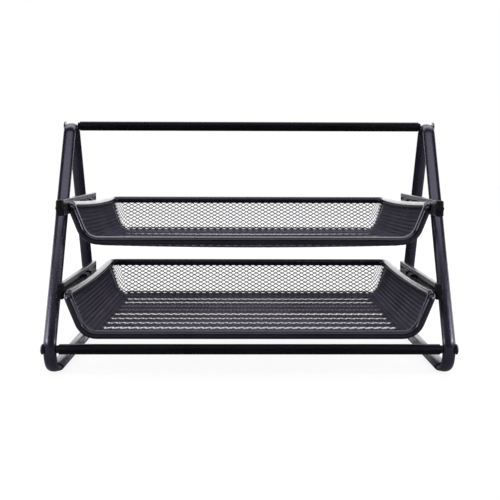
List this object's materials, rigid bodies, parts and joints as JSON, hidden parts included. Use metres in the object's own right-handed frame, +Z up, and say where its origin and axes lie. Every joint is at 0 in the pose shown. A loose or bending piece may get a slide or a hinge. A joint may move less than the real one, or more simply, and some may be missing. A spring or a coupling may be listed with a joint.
{
  "type": "letter tray",
  "caption": "Desk letter tray: flared open-front mesh trays that slide in rails between a pair of bent-tube A-frames, for sheets of paper.",
  "frame": {"origin": "on the desk under the middle of the whole object's box", "axes": "+Z up, +X along the crossbars to the right, the open fronts of the trays towards -Y"},
  "size_m": [0.387, 0.2694, 0.242],
  "materials": {
    "frame_coat": "near-black powder coat with a slight violet cast, satin",
    "bar_coat": "near-black powder coat, satin",
    "rail_coat": "near-black powder coat, satin",
    "tray_rim": "near-black powder coat, satin",
    "tray_mesh": "near-black powder coat on expanded steel",
    "slide_steel": "near-black powder coat, rubbed bright where it slides",
    "cap_plastic": "black moulded plastic",
    "plug_plastic": "black moulded plastic",
    "foot_plastic": "black moulded plastic",
    "screw_black": "blackened steel"
  },
  "bodies": {
    "stand": {"front_bottom_bar": "bar_coat", "front_bottom_left_plug": "plug_plastic", "front_bottom_left_screw": "screw_black", "front_bottom_right_plug": "plug_plastic", "front_bottom_right_screw": "screw_black", "front_left_foot": "foot_plastic", "front_right_foot": "foot_plastic", "left_side_frame": "frame_coat", "lower_left_rail": "rail_coat", "lower_left_rail_cap": "cap_plastic", "lower_right_rail": "rail_coat", "lower_right_rail_cap": "cap_plastic", "rear_bottom_bar": "bar_coat", "rear_bottom_left_plug": "plug_plastic", "rear_bottom_left_screw": "screw_black", "rear_bottom_right_plug": "plug_plastic", "rear_bottom_right_screw": "screw_black", "rear_left_foot": "foot_plastic", "rear_right_foot": "foot_plastic", "right_side_frame": "frame_coat", "top_bar": "bar_coat", "top_left_plug": "plug_plastic", "top_left_screw": "screw_black", "top_right_plug": "plug_plastic", "top_right_screw": "screw_black", "upper_left_rail": "rail_coat", "upper_left_rail_cap": "cap_plastic", "upper_right_rail": "rail_coat", "upper_right_rail_cap": "cap_plastic"},
    "lower_tray": {"lower_back_mesh": "tray_mesh", "lower_back_rim": "tray_rim", "lower_floor_mesh": "tray_mesh", "lower_front_frame": "tray_rim", "lower_left_front_hanger": "slide_steel", "lower_left_mesh": "tray_mesh", "lower_left_rear_hanger": "slide_steel", "lower_left_rim": "tray_rim", "lower_left_runner": "slide_steel", "lower_right_front_hanger": "slide_steel", "lower_right_mesh": "tray_mesh", "lower_right_rear_hanger": "slide_steel", "lower_right_rim": "tray_rim", "lower_right_runner": "slide_steel"},
    "upper_tray": {"upper_back_mesh": "tray_mesh", "upper_back_rim": "tray_rim", "upper_floor_mesh": "tray_mesh", "upper_front_frame": "tray_rim", "upper_left_front_hanger": "slide_steel", "upper_left_mesh": "tray_mesh", "upper_left_rear_hanger": "slide_steel", "upper_left_rim": "tray_rim", "upper_left_runner": "slide_steel", "upper_right_front_hanger": "slide_steel", "upper_right_mesh": "tray_mesh", "upper_right_rear_hanger": "slide_steel", "upper_right_rim": "tray_rim", "upper_right_runner": "slide_steel"}
  },
  "joints": [
    {"name": "lower_tray_slide", "type": "slide", "parent": "stand", "child": "lower_tray", "axis": [0, -1, 0], "range_m": [0, 0.078]},
    {"name": "upper_tray_slide", "type": "slide", "parent": "stand", "child": "upper_tray", "axis": [0, -1, 0], "range_m": [0, 0.078]}
  ]
}
